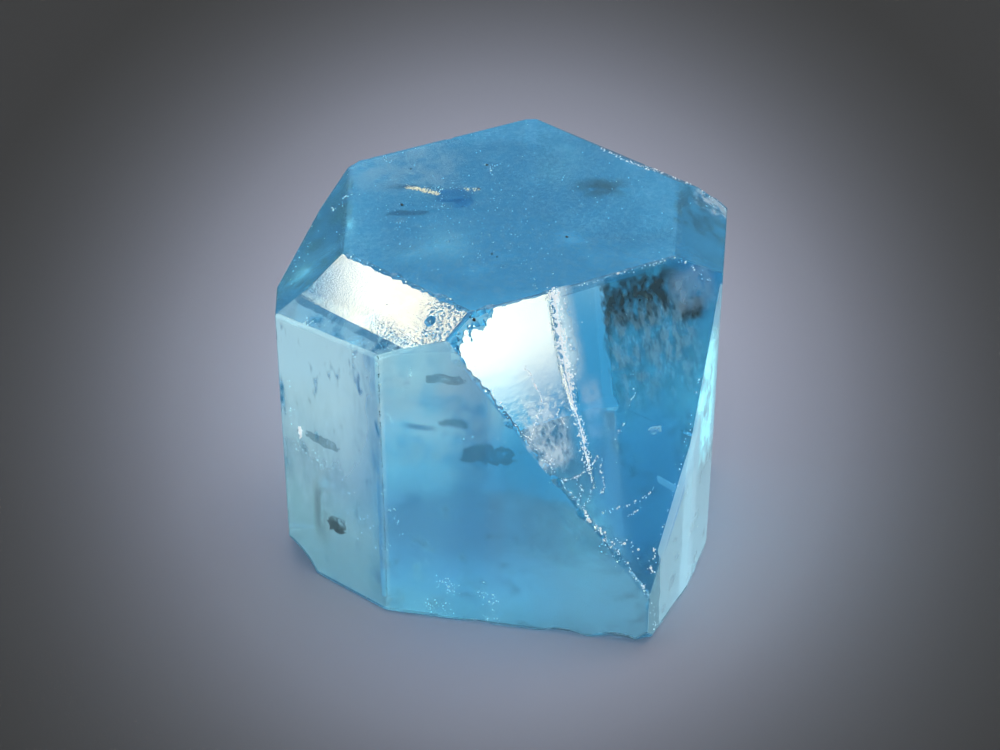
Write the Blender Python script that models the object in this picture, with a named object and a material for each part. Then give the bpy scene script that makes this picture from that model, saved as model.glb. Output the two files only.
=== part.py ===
"""Topaz crystal: one clear blue crystal, broken off flat along its cleavage so that it stands.

The crystal is laid out the way a mineral drawing is.  Every face is a plane given by the
direction it looks in and by its distance from one middle point on the floor, and the crystal
is what is left inside all of the planes.  Units are metres, +Z is the long axis of the
crystal, and the broken base lies on Z = 0.
"""
import math
import random

import bmesh
import bpy
from mathutils import Matrix, Vector

MM = 0.001
MERGE = 0.0000005                # closest two corners may lie, 0.0005 mm
DEG = math.pi / 180.0

NODE_NAME = "crystal"
ROUGH_BLOCK = 90.0 * MM          # block that the faces are cut from, well over the crystal

# Faces: azimuth from +X and tilt of the outward normal from +Z in degrees, distance in mm.
FACES = {
    "top": (0.0, 0.0, 29.75),
    # Sloping faces around the top.
    "dome_front_left": (-132.0, 31.5, 31.80),
    "band_left": (-132.0, 40.0, 31.48),
    "band_front": (-103.0, 80.8, 21.18),
    "band_corner": (-86.5, 43.3, 31.42),
    "pyramid_ridge_left": (-63.8, 65.5, 23.30),
    "pyramid_ridge_right": (-60.9, 65.5, 23.25),
    "dome_right": (-5.5, 29.8, 33.22),
    "dome_left": (-178.7, 36.5, 31.68),
    "dome_back_right": (45.0, 29.0, 33.88),
    # Upright prism faces, in order around the crystal.
    "prism_front_left": (-129.2, 90.0, 18.14),
    "prism_front": (-101.3, 90.0, 17.03),
    "prism_right_front": (-27.5, 90.0, 20.16),
    "prism_right_middle": (-19.0, 90.0, 19.44),
    "prism_right_back": (-6.7, 90.0, 19.10),
    "prism_back_right": (53.0, 90.0, 17.76),
    "prism_back_corner": (95.0, 90.0, 19.30),
    "prism_back_left": (119.0, 90.0, 15.98),
    "prism_left_back": (153.2, 90.0, 16.72),
    "prism_left_middle": (161.5, 90.0, 16.83),
    "prism_left_front": (-177.2, 90.0, 19.03),
}

EDGE_WEAR = 0.13 * MM            # width of the worn flat along each edge
EDGE_MIN_BEND = 11.0 * DEG       # faces that meet at a flatter bend keep a plain edge

# Shell-shaped break scars on the foot: a point on the surface in mm (x, y, z), the way out of
# the crystal there (azimuth, tilt), the radius of the scar's curve and its greatest depth.
FOOT_SCARS = (
    (-18.0, -8.4, 0.8, -158.0, 128.0, 7.0, 0.95),
    (-15.2, -11.6, 0.0, -135.0, 118.0, 5.0, 0.35),
    (-2.0, -16.9, 0.0, -101.0, 122.0, 6.0, 0.16),
    (5.2, -18.4, 0.0, -101.0, 124.0, 7.0, 0.34),
    (9.6, -19.2, 0.0, -98.0, 122.0, 6.0, 0.42),
    (12.6, -19.7, 0.0, -70.0, 122.0, 5.0, 0.70),
    (15.0, -14.9, 0.0, -27.0, 122.0, 4.0, 0.22),
    (18.9, -4.4, 0.0, -12.0, 124.0, 6.0, 0.45),
    (19.9, 7.0, 0.0, 20.0, 126.0, 7.0, 0.80),
    (11.5, 13.6, 0.0, 53.0, 124.0, 6.0, 0.40),
    (2.6, 19.6, 0.0, 95.0, 124.0, 6.0, 0.55),
    (-6.4, 14.7, 0.0, 119.0, 124.0, 7.0, 0.50),
    (-15.2, 7.4, 0.0, 156.0, 124.0, 6.0, 0.45),
)

# The same kind of scar higher up: the pit on the front-left dome, the bites in the corner band
# and the knocked corners of the top.
UPPER_SCARS = (
    (-5.6, -14.1, 28.6, -132.0, 31.5, 0.90, 0.17),
    (-1.3, -15.2, 28.9, -74.0, 54.0, 1.4, 0.17),
    (-2.0, -16.0, 28.2, -74.0, 54.0, 1.1, 0.14),
    (-2.5, -16.6, 27.6, -80.0, 60.0, 1.0, 0.12),
    (18.5, 8.3, 28.1, 40.0, 40.0, 4.0, 0.22),
    (-13.4, 10.9, 29.5, 140.0, 50.0, 3.0, 0.30),
)

BREAK_FACET = 0.30 * MM          # facet size that broken surfaces are made to
BREAK_DETAIL = (2, 5)            # fewest and most subdivisions of a cutter ball
BREAK_RIPPLE = 0.0035            # ripple of a broken surface, as a share of its radius

# Small flakes knocked off the edges, as real topaz edges have: the two faces of each edge and
# how many flakes it has lost.
EDGE_FLAKES = (
    ("top", "dome_front_left", 9),
    ("top", "pyramid_ridge_left", 4),
    ("top", "pyramid_ridge_right", 5),
    ("prism_front", "pyramid_ridge_left", 9),
    ("prism_front", "pyramid_ridge_right", 5),
    ("prism_right_middle", "pyramid_ridge_right", 6),
    ("prism_front", "prism_right_front", 2),
    ("top", "prism_back_left", 6),
    ("top", "dome_back_right", 4),
    ("prism_front_left", "prism_left_front", 4),
    ("prism_back_right", "prism_right_back", 5),
    ("prism_back_left", "prism_left_back", 5),
)
FLAKE_RADIUS = (0.6, 2.6)        # mm, the curve of the break
FLAKE_DEPTH = (0.05, 0.17)       # mm, measured from the edge
FLAKE_SWAY = 0.35                # how far a flake leans over to one face or the other
FLAKE_SEED = 53

# The open crack down the pyramid face: way points from the top edge downward in mm, and how
# wide it is there as a share of its full size.
CRACK_PATH = (
    (3.9, -11.3, 30.2, 0.9),
    (4.0, -12.0, 28.6, 1.0),
    (4.3, -13.0, 26.6, 0.9),
    (4.8, -13.9, 24.3, 1.0),
    (5.9, -15.2, 20.7, 0.7),
    (7.0, -16.4, 17.2, 0.5),
    (7.8, -17.4, 14.4, 0.15),
)
CRACK_OUT = (-62.4, 65.5)        # the way the cracked face looks

# Section of the crack at full size in mm, across the crack and out of the face: a steep lip on
# the left, then the hollow where a long flake came off on the right.
CRACK_SECTION = (
    (-0.22, 0.45),
    (-0.10, 0.00),
    (0.00, -0.26),
    (0.30, -0.22),
    (0.70, -0.15),
    (1.15, -0.06),
    (1.55, 0.05),
    (1.90, 0.45),
)

# Low cleavage ledges under the foot: corner points in mm of each raised patch and its height.
LEDGES = (
    (((7.0, 24.0), (9.5, 6.5), (13.0, 3.2), (24.0, 1.0), (24.0, 24.0)), 0.40),
    (((-24.0, -1.0), (-12.5, 1.8), (-9.0, 6.0), (-7.5, 24.0), (-24.0, 24.0)), 0.25),
    (((-13.0, -6.0), (-5.0, -12.0), (-6.0, -24.0), (-24.0, -24.0), (-24.0, -7.0)), 0.12),
)
LEDGE_DROP = 3.0 * MM            # how far a ledge cutter reaches below the floor

CRYSTAL_COLOUR = (0.11, 0.40, 0.58, 1.0)
CRYSTAL_ROUGHNESS = 0.04
CRYSTAL_IOR = 1.62


def clear_scene():
    """Remove every object of the open file."""
    for obj in list(bpy.data.objects):
        bpy.data.objects.remove(obj, do_unlink=True)


def direction(azimuth, tilt):
    """Unit vector at an azimuth from +X and a tilt from +Z, both in degrees."""
    side = math.sin(tilt * DEG)
    return Vector((math.cos(azimuth * DEG) * side, math.sin(azimuth * DEG) * side, math.cos(tilt * DEG)))


def add_object(name, bm):
    """Make a scene object from a bmesh."""
    bmesh.ops.recalc_face_normals(bm, faces=bm.faces)
    mesh = bpy.data.meshes.new(name)
    bm.to_mesh(mesh)
    bm.free()
    obj = bpy.data.objects.new(name, mesh)
    bpy.context.scene.collection.objects.link(obj)
    return obj


def cut_outside(bm, normal, distance):
    """Cut away everything beyond a plane and close the cut with one flat face."""
    geometry = bm.verts[:] + bm.edges[:] + bm.faces[:]
    result = bmesh.ops.bisect_plane(
        bm, geom=geometry, dist=1e-7, plane_co=normal * distance, plane_no=normal, clear_outer=True)
    rim = [item for item in result["geom_cut"] if isinstance(item, bmesh.types.BMEdge)]
    if len(rim) > 2:
        bmesh.ops.contextual_create(bm, geom=rim)


def grow_crystal():
    """Cut the block by every face of the crystal; return its bmesh and its face planes."""
    bm = bmesh.new()
    bmesh.ops.create_cube(bm, size=ROUGH_BLOCK)
    cut_outside(bm, Vector((0.0, 0.0, -1.0)), 0.0)
    planes = {}
    for name, (azimuth, tilt, distance) in FACES.items():
        planes[name] = (direction(azimuth, tilt), distance * MM)
        cut_outside(bm, *planes[name])
    return bm, planes


def wear_edges(bm):
    """Plane a narrow flat along every edge where two faces meet at a clear bend."""
    flats = []
    for edge in bm.edges:
        bend = edge.calc_face_angle()
        if bend > EDGE_MIN_BEND:
            normal = (edge.link_faces[0].normal + edge.link_faces[1].normal).normalized()
            depth = EDGE_WEAR / 2.0 * math.tan(bend / 2.0)
            flats.append((normal, normal.dot(edge.verts[0].co) - depth))
    for normal, distance in flats:
        cut_outside(bm, normal, distance)


def find_edge(bm, first, second):
    """End points of the edge where two face planes meet, or None where they do not."""
    for edge in bm.edges:
        ends = [vert.co for vert in edge.verts]
        if all(abs(normal.dot(co) - distance) < 2e-6 for co in ends for normal, distance in (first, second)):
            return ends[0].copy(), ends[1].copy()
    return None


def add_ball(name, centre, radius, rng):
    """Make a slightly rippled ball, as fine as its size asks for."""
    fewest, most = BREAK_DETAIL
    detail = min(max(round(math.log2(radius / BREAK_FACET)) + 1, fewest), most)
    bm = bmesh.new()
    made = bmesh.ops.create_icosphere(
        bm, subdivisions=detail, radius=radius, matrix=Matrix.Translation(centre))
    for vert in made["verts"]:
        outward = (vert.co - centre).normalized()
        vert.co += outward * radius * rng.uniform(-BREAK_RIPPLE, BREAK_RIPPLE)
    return add_object(name, bm)


def cut_away(target, cutter):
    """Cut one object by another and remove the cutter."""
    cutter.hide_render = True
    cutter.display_type = "WIRE"
    modifier = target.modifiers.new("cut", "BOOLEAN")
    modifier.operation = "DIFFERENCE"
    modifier.solver = "EXACT"
    modifier.object = cutter
    bpy.context.view_layer.objects.active = target
    bpy.ops.object.modifier_apply(modifier=modifier.name)
    bpy.data.objects.remove(cutter, do_unlink=True)


def cut_scars(crystal, scars, rng):
    """Cut each break scar: a large ball that bites a shallow cap out of the surface."""
    for x, y, z, azimuth, tilt, radius, depth in scars:
        centre = (Vector((x, y, z)) + direction(azimuth, tilt) * (radius - depth)) * MM
        cut_away(crystal, add_ball("scar_cutter", centre, radius * MM, rng))


def knock_flakes(crystal, edges, rng):
    """Knock small flakes off at uneven places along the named edges."""
    for ends, sides, count in edges:
        for _ in range(count):
            point = ends[0].lerp(ends[1], rng.uniform(0.03, 0.97))
            lean = rng.uniform(0.5 - FLAKE_SWAY, 0.5 + FLAKE_SWAY)
            outward = sides[0].lerp(sides[1], lean).normalized()
            radius = rng.uniform(*FLAKE_RADIUS) * MM
            depth = rng.uniform(*FLAKE_DEPTH) * MM
            centre = point + outward * (radius - depth)
            cut_away(crystal, add_ball("flake_cutter", centre, radius, rng))


def flaked_edges(bm, planes):
    """Look up the edges that have lost flakes, with the way out at each of their two faces."""
    found = []
    for first, second, count in EDGE_FLAKES:
        ends = find_edge(bm, planes[first], planes[second])
        if ends is None:
            raise ValueError("no edge between " + first + " and " + second)
        found.append((ends, (planes[first][0], planes[second][0]), count))
    return found


def cut_crack(crystal):
    """Cut the crack and its flake hollow by drawing the section along the way points."""
    out = direction(*CRACK_OUT)
    down = Vector(CRACK_PATH[-1][:3]) - Vector(CRACK_PATH[0][:3])
    across = out.cross(down).normalized()
    bm = bmesh.new()
    rings = []
    for x, y, z, share in CRACK_PATH:
        corners = [Vector((x, y, z)) + (across * side + out * rise) * share for side, rise in CRACK_SECTION]
        rings.append([bm.verts.new(corner * MM) for corner in corners])
    bm.faces.new(rings[0])
    bm.faces.new(reversed(rings[-1]))
    for ring, following in zip(rings, rings[1:]):
        for index in range(len(ring)):
            after = (index + 1) % len(ring)
            bm.faces.new((ring[index], following[index], following[after], ring[after]))
    cut_away(crystal, add_object("crack_cutter", bm))


def cut_ledges(crystal):
    """Cut the low steps that the cleavage left under the foot."""
    for corners, height in LEDGES:
        bm = bmesh.new()
        outline = [bm.verts.new((x * MM, y * MM, -LEDGE_DROP)) for x, y in corners]
        floor = bm.faces.new(outline)
        raised = bmesh.ops.extrude_face_region(bm, geom=[floor])
        lifted = [item for item in raised["geom"] if isinstance(item, bmesh.types.BMVert)]
        bmesh.ops.translate(bm, verts=lifted, vec=(0.0, 0.0, LEDGE_DROP + height * MM))
        cut_away(crystal, add_object("ledge_cutter", bm))


def centre_on_foot(crystal):
    """Bring the middle of the bounding box's floor to the origin."""
    xs = [vert.co.x for vert in crystal.data.vertices]
    ys = [vert.co.y for vert in crystal.data.vertices]
    zs = [vert.co.z for vert in crystal.data.vertices]
    middle = Vector(((min(xs) + max(xs)) / 2.0, (min(ys) + max(ys)) / 2.0, min(zs)))
    crystal.data.transform(Matrix.Translation(-middle))


def tidy_mesh(crystal):
    """Split the cut faces into triangles and drop the slivers that the cuts leave."""
    bm = bmesh.new()
    bm.from_mesh(crystal.data)
    bmesh.ops.remove_doubles(bm, verts=bm.verts, dist=MERGE)
    bmesh.ops.dissolve_degenerate(bm, edges=bm.edges, dist=MERGE)
    bmesh.ops.triangulate(bm, faces=bm.faces)
    bmesh.ops.recalc_face_normals(bm, faces=bm.faces)
    bm.to_mesh(crystal.data)
    bm.free()


def add_material(crystal):
    """Give the crystal its clear blue material."""
    material = bpy.data.materials.new("topaz")
    material.use_nodes = True
    shader = material.node_tree.nodes["Principled BSDF"]
    shader.inputs["Base Color"].default_value = CRYSTAL_COLOUR
    shader.inputs["Roughness"].default_value = CRYSTAL_ROUGHNESS
    shader.inputs["Metallic"].default_value = 0.0
    shader.inputs["IOR"].default_value = CRYSTAL_IOR
    crystal.data.materials.clear()
    crystal.data.materials.append(material)


def main():
    """Build the crystal."""
    clear_scene()
    rng = random.Random(FLAKE_SEED)
    bm, planes = grow_crystal()
    edges = flaked_edges(bm, planes)
    wear_edges(bm)
    crystal = add_object(NODE_NAME, bm)
    cut_ledges(crystal)
    cut_scars(crystal, FOOT_SCARS, rng)
    cut_scars(crystal, UPPER_SCARS, rng)
    cut_crack(crystal)
    knock_flakes(crystal, edges, rng)
    tidy_mesh(crystal)
    centre_on_foot(crystal)
    add_material(crystal)


main()
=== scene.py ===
# %% [markdown]
# # A blue topaz crystal
#
# The object is one stubby prism of blue topaz, about four centimetres across, standing on its broken foot.
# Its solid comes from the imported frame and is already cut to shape, so this lesson is about light and
# finish: glass that drinks a little red, two polished faces among etched ones, and the cracks, films and
# specks in the stone.

# %% load the frame
import math
import random

import bpy
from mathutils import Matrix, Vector
from mathutils.bvhtree import BVHTree


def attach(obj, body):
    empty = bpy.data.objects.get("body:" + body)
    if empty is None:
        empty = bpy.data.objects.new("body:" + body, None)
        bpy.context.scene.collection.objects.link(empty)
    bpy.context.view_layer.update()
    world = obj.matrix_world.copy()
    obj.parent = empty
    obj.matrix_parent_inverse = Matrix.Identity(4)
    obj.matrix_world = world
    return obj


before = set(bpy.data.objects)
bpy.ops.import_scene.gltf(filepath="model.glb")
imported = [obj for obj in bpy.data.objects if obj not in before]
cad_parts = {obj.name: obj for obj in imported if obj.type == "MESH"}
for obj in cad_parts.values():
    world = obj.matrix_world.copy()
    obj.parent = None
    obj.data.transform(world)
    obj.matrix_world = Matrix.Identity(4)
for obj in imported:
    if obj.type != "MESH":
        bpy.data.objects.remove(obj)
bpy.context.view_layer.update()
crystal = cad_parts["crystal"]
scene = bpy.context.scene

# %% [markdown]
# ## Camera
#
# A long lens from a little above keeps the prism's sides nearly parallel, as in a mineral dealer's picture.
# The camera is aimed at a point on the floor by turning its own -Z axis along the line of sight.

# %% camera
EYE = Vector((-0.000588, -0.16525, 0.12166))
AIM = Vector((-0.000588, 0.022081, 0.0))
LENS = 80.0
SENSOR = 36.0

camera_data = bpy.data.cameras.new("camera")
camera_data.lens = LENS
camera_data.sensor_width = SENSOR
camera_data.clip_start = 0.005
camera = bpy.data.objects.new("camera", camera_data)
camera.location = EYE
camera.rotation_euler = (AIM - EYE).to_track_quat("-Z", "Y").to_euler()
scene.collection.objects.link(camera)
scene.camera = camera
print("camera looks down", round(math.degrees(math.asin((EYE - AIM).normalized().z)), 1), "degrees")

# %% [markdown]
# ## Small helpers
#
# Every finish below is a node tree. These helpers add a node, set its plain values and join two sockets,
# so that a material reads as a list of steps. An operator acts on all that is selected, so each new piece
# starts with nothing selected.

# %% helpers
def deselect_all():
    """Leaves nothing selected, because an operator acts on all that is selected."""
    if bpy.context.object and bpy.context.object.mode != "OBJECT":
        bpy.ops.object.mode_set(mode="OBJECT")
    bpy.ops.object.select_all(action="DESELECT")


def new_material(name):
    """An empty material and its node tree."""
    material = bpy.data.materials.new(name)
    material.use_nodes = True
    material.node_tree.nodes.clear()
    return material, material.node_tree


def add(tree, kind, **plain):
    """A node of this kind; each keyword is one of its plain settings."""
    node = tree.nodes.new(kind)
    for key, value in plain.items():
        setattr(node, key, value)
    return node


def plug(tree, socket, value):
    """Joins a socket to another, or gives it a plain value."""
    if isinstance(value, bpy.types.NodeSocket):
        tree.links.new(value, socket)
    else:
        socket.default_value = value


def feed(tree, node, **values):
    """Sets or joins a node's inputs by name, with _ for a space."""
    for key, value in values.items():
        plug(tree, node.inputs[key.replace("_", " ")], value)
    return node


def reckon(tree, operation, *values, clamp=False):
    """One step of arithmetic; gives its result socket."""
    node = add(tree, "ShaderNodeMath", operation=operation, use_clamp=clamp)
    for socket, value in zip(node.inputs, values):
        plug(tree, socket, value)
    return node.outputs[0]


def times(tree, *values):
    """The product of sockets and plain numbers."""
    total = values[0]
    for value in values[1:]:
        total = reckon(tree, "MULTIPLY", total, value)
    return total


def plus(tree, *values):
    """The sum of sockets and plain numbers."""
    total = values[0]
    for value in values[1:]:
        total = reckon(tree, "ADD", total, value)
    return total


def fade_in(tree, value, low, high):
    """0 below low and 1 above high, softly; the other way round when low is the larger."""
    node = add(tree, "ShaderNodeMapRange", interpolation_type="SMOOTHSTEP")
    feed(tree, node, Value=value, From_Min=min(low, high), From_Max=max(low, high))
    if low > high:
        feed(tree, node, To_Min=1.0, To_Max=0.0)
    return node.outputs[0]


def blend(tree, mask, first, second):
    """Goes from the first colour to the second where the mask goes from 0 to 1."""
    node = add(tree, "ShaderNodeMix", data_type="RGBA")
    for socket, value in zip((node.inputs[0], node.inputs[6], node.inputs[7]), (mask, first, second)):
        plug(tree, socket, value)
    return node.outputs[2]


def colours(tree, value, stops, interpolation="EASE"):
    """A colour ramp; stops are pairs of place and colour."""
    node = add(tree, "ShaderNodeValToRGB")
    ramp = node.color_ramp
    ramp.interpolation = interpolation
    while len(ramp.elements) < len(stops):
        ramp.elements.new(0.5)
    for element, (place, colour) in zip(ramp.elements, stops):
        element.position, element.color = place, (*colour, 1.0)
    tree.links.new(value, node.inputs[0])
    return node.outputs[0]


def show(tree, shader):
    """Sends a shader to the surface of its material."""
    tree.links.new(shader.outputs[0], add(tree, "ShaderNodeOutputMaterial").inputs[0])


def axes_of(tree, coordinates="Object"):
    """The coordinate socket of this kind and its three axes."""
    where = add(tree, "ShaderNodeTexCoord")
    split = add(tree, "ShaderNodeSeparateXYZ")
    tree.links.new(where.outputs[coordinates], split.inputs[0])
    return where.outputs[coordinates], *split.outputs


def direction(azimuth, tilt):
    """The outward normal of a face: degrees round from +X, and degrees down from +Z."""
    a, t = math.radians(azimuth), math.radians(tilt)
    return Vector((math.cos(a) * math.sin(t), math.sin(a) * math.sin(t), math.cos(t)))


# %% [markdown]
# ## Floor
#
# The floor is a sheet of backdrop paper with a painted pool of light: pale lavender grey under the stone and
# darker towards its rim. It is a plain disc a hair below the foot, because two surfaces in one place confuse
# a ray tracer. The painted fade is a colour ramp over that pool: an oval that starts at the stone and leans
# away to the back. It is measured on the floor itself, so it stays put whatever side it is looked at from.
# Its palest stop also paints light into the shadow round the foot.

# %% floor
FLOOR_RADIUS = 2.0
FLOOR_LEVEL = -0.0002
POOL_HALF_WIDTH, POOL_HALF_DEPTH = 0.057, 0.098
POOL_START, POOL_LEAN = 0.009, 0.34
PAINTED_POOL_TONES = [(0.0, (0.80, 0.80, 0.91)), (0.38, (0.615, 0.615, 0.712)), (0.56, (0.345, 0.345, 0.39)),
               (0.70, (0.19, 0.19, 0.202)), (0.84, (0.115, 0.113, 0.113)), (1.0, (0.076, 0.073, 0.069))]

deselect_all()
bpy.ops.mesh.primitive_circle_add(vertices=96, radius=FLOOR_RADIUS, fill_type="NGON",
                                  location=(0, 0, FLOOR_LEVEL))
floor = bpy.context.object
floor.name = "floor"

paper, tree = new_material("paper_painted_pool")
_, x, y, _ = axes_of(tree)
across = times(tree, x, 1 / POOL_HALF_WIDTH)
along = times(tree, reckon(tree, "SUBTRACT", y, POOL_START), 1 / POOL_HALF_DEPTH)
far = reckon(tree, "SQRT", plus(tree, times(tree, across, across), times(tree, along, along)))
far = reckon(tree, "MULTIPLY_ADD", along, -POOL_LEAN, far)
# The ramp is a painted pool of light; its palest stop lifts the shadow round the foot.
painted_pool_colour = colours(tree, far, PAINTED_POOL_TONES, "B_SPLINE")
show(tree, feed(tree, add(tree, "ShaderNodeBsdfPrincipled"), Base_Color=painted_pool_colour, Roughness=0.9,
                Specular_IOR_Level=0.1))
floor.data.materials.append(paper)
print("the paper is", 2 * FLOOR_RADIUS, "m across")

# %% [markdown]
# ## Light
#
# The room is a dim grey dome that is brighter overhead, and one broad lamp above lights the paper. The dome
# is so even that it need not be sampled as a lamp, and with one lamp a light tree has nothing to sort. Both
# are off, which makes the picture quicker to render.

# %% room light
SKY_TONES = [(0.0, (0.10, 0.10, 0.11)), (0.5, (0.10, 0.10, 0.11)), (0.75, (0.18, 0.20, 0.23)),
             (1.0, (0.78, 0.84, 0.92))]
LAMP_SIZE, LAMP_RADIANCE = 0.5, 1.15
LAMP_AZIMUTH, LAMP_ELEVATION, LAMP_DISTANCE = 60, 75, 0.8
LIGHT_CENTRE = Vector((0.0, 0.0, 0.015))

world = bpy.data.worlds.new("studio")
scene.world = world
world.cycles.sampling_method = "NONE"
scene.cycles.use_light_tree = False
world.use_nodes = True
tree = world.node_tree
tree.nodes.clear()
_, _, _, up = axes_of(tree, "Generated")
sky = feed(tree, add(tree, "ShaderNodeBackground"),
           Color=colours(tree, reckon(tree, "MULTIPLY_ADD", up, 0.5, 0.5), SKY_TONES))
tree.links.new(sky.outputs[0], add(tree, "ShaderNodeOutputWorld").inputs[0])


def aim_at_stone(thing, azimuth, elevation, distance):
    """Puts a lamp or card on a sphere round the stone, facing it."""
    line = direction(azimuth, 90 - elevation)
    thing.location = LIGHT_CENTRE + line * distance
    thing.rotation_euler = (-line).to_track_quat("-Z", "Y").to_euler()


lamp_data = bpy.data.lights.new("lamp_above", "AREA")
lamp_data.shape = "SQUARE"
lamp_data.size = LAMP_SIZE
lamp_data.energy = LAMP_RADIANCE * math.pi * LAMP_SIZE**2
lamp_above = bpy.data.objects.new("lamp_above", lamp_data)
aim_at_stone(lamp_above, LAMP_AZIMUTH, LAMP_ELEVATION, LAMP_DISTANCE)
scene.collection.objects.link(lamp_above)
print("the lamp gives", round(lamp_data.energy, 2), "W")

# %% [markdown]
# Two cards make the cream white mirror patches: one high at the back left, for the small dome face, and one
# low at the front right, for the slanted face. A card's light fades towards its edges, as a real soft box
# does, and so does its mirror image. Each is made twice: a warm one that only mirrored rays see, and a
# neutral one that only rays through the stone see. Three softer cards are seen only through the stone and
# light its sides from within. None of them shines on the paper, which stays plain.

# %% light cards
CARD_DISTANCE = 0.6
MIRRORED, THROUGH = ("glossy",), ("transmission",)
WHITE, NEUTRAL = (1.0, 1.0, 1.0), (1.0, 0.98, 0.90)
WARM_BACK, WARM_FRONT, SKY_BLUE = (1.0, 0.87, 0.57), (1.0, 0.87, 0.54), (0.34, 0.68, 1.0)
SLIGHT_FADE, SIDE_FADE = (0.08, 0.08, 0.08, 0.08), (0.2, 0.2, 0.2, 0.2)
BACK_FADE, FRONT_FADE = (0.05, 0.05, 0.22, 0.05), (0.05, 0.45, 0.22, 0.05)


def light_card(name, azimuth, elevation, size, radiance, fades, rays, tint=WHITE):
    """A glowing rectangle facing the stone. Fades are the soft shares of its left, right, bottom and top."""
    deselect_all()
    bpy.ops.mesh.primitive_plane_add(size=1.0)
    card = bpy.context.object
    card.name = name
    card.scale = (*size, 1.0)
    aim_at_stone(card, azimuth, elevation, CARD_DISTANCE)
    shine, tree = new_material(name)
    _, u, v, _ = axes_of(tree, "UV")
    left, right, bottom, top = fades
    glow = times(tree, fade_in(tree, u, 0.0, left), fade_in(tree, u, 1.0, 1.0 - right),
                 fade_in(tree, v, 0.0, bottom), fade_in(tree, v, 1.0, 1.0 - top), radiance)
    show(tree, feed(tree, add(tree, "ShaderNodeEmission"), Color=(*tint, 1.0), Strength=glow))
    shine.cycles.emission_sampling = "NONE"
    card.data.materials.append(shine)
    for ray in ("camera", "diffuse", "glossy", "transmission", "shadow", "volume_scatter"):
        setattr(card, "visible_" + ray, ray in rays)
    print(name, "is", size, "m and shines with", radiance)


light_card("card_back", 157, 53.6, (0.20, 0.12), 17.0, BACK_FADE, MIRRORED, WARM_BACK)
light_card("card_back_through", 157, 53.6, (0.20, 0.12), 17.0, BACK_FADE, THROUGH, NEUTRAL)
light_card("card_front", -44, 18, (0.21, 0.15), 18.0, FRONT_FADE, MIRRORED, WARM_FRONT)
light_card("card_front_through", -44, 17, (0.21, 0.15), 18.0, FRONT_FADE, THROUGH, NEUTRAL)
light_card("card_left", 172, 20, (0.45, 0.45), 3.0, SIDE_FADE, THROUGH)
light_card("card_behind", 130, 38, (0.30, 0.28), 0.5, SIDE_FADE, THROUGH)
light_card("card_blue", 80, 58, (0.40, 0.22), 0.42, SLIGHT_FADE, THROUGH, SKY_BLUE)

# %% [markdown]
# ## Light table
#
# Light that has gone through the stone lands on the floor and shines back up into it. A hidden sheet of
# light just above the paper stands for that glow, which a path tracer finds only slowly. Only rays that
# leave the stone see it: blue under the foot, pale behind it. Its bounds are metres from the foot's middle.

# %% light table
TABLE_LEVEL, TABLE_SIZE = -0.0001, 0.4
DEEP_UNDER, PALE_UNDER = (0.15, 0.46, 0.70, 1), (0.38, 0.72, 0.90, 1)
DIM_AROUND, PALE_BEHIND = (0.22, 0.25, 0.32, 1), (0.62, 0.68, 0.74, 1)
BEHIND_SLANT, BEHIND_FROM, BEHIND_TO = 0.6, -0.01, 0.03
LEFT_FROM, LEFT_TO, BACK_FROM, BACK_TO = -0.002, -0.005, 0.011, 0.015
UNDER_TO, AROUND_FROM = 0.025, 0.034

deselect_all()
bpy.ops.mesh.primitive_plane_add(size=TABLE_SIZE, location=(0, 0, TABLE_LEVEL))
light_table = bpy.context.object
light_table.name = "light_table"
table_glow, tree = new_material("table_glow")
_, x, y, _ = axes_of(tree)
reach = reckon(tree, "SQRT", plus(tree, times(tree, x, x), times(tree, y, y)))
behind = fade_in(tree, reckon(tree, "SUBTRACT", y, times(tree, x, BEHIND_SLANT)), BEHIND_FROM, BEHIND_TO)
around = blend(tree, behind, DIM_AROUND, PALE_BEHIND)
back_left = times(tree, fade_in(tree, x, LEFT_FROM, LEFT_TO), fade_in(tree, y, BACK_FROM, BACK_TO))
under = blend(tree, back_left, DEEP_UNDER, PALE_UNDER)
glow = blend(tree, fade_in(tree, reach, UNDER_TO, AROUND_FROM), under, around)
show(tree, feed(tree, add(tree, "ShaderNodeEmission"), Color=glow))
table_glow.cycles.emission_sampling = "NONE"
light_table.data.materials.append(table_glow)
for ray in ("camera", "diffuse", "glossy", "shadow", "volume_scatter"):
    setattr(light_table, "visible_" + ray, False)
print("the light table is", TABLE_SIZE, "m across")

# %% [markdown]
# ## Topaz
#
# Topaz bends light by 1.61 to 1.62 and this one is coloured all through, so its blue comes from absorption:
# the longer the way through the stone, the deeper the blue. Its faces are not all alike. The two that mirror
# the cards are bright and smooth, the others are a little etched, the back left wall is frosted and the
# foot is a rough break. A mask for each comes from the way the surface faces.

# %% masks for the faces
BEND = 1.617
DRINK_COLOUR, DRINK_DENSITY = (0.067, 0.75, 0.933, 1), 30.0
# The point on the floor that the distances of the faces are measured from, and the way each face looks.
MIDDLE = Vector((-0.000588, 0.000081, 0.0))
TOP, DOME, PYRAMID = (0, 0), (-132, 31.5), (-62, 65.5)
CORNER, FRONT, FROSTED, LEFT, BACK = (-86.5, 43.3), (-101.3, 90), (119, 90), (165, 90), (105, 90)

topaz, tree = new_material("topaz")
place, x, y, z = axes_of(tree)
facing = add(tree, "ShaderNodeTexCoord").outputs["Normal"]


def dot(vector, fixed):
    """How far a socket's vector reaches along a fixed direction."""
    node = add(tree, "ShaderNodeVectorMath", operation="DOT_PRODUCT")
    tree.links.new(vector, node.inputs[0])
    node.inputs[1].default_value = fixed
    return node.outputs["Value"]


def face_mask(face, low=0.985, high=0.993):
    """1 where the surface looks the way this face does; low and high are cosines of the angle off it."""
    return fade_in(tree, dot(facing, direction(*face)), low, high)


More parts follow.
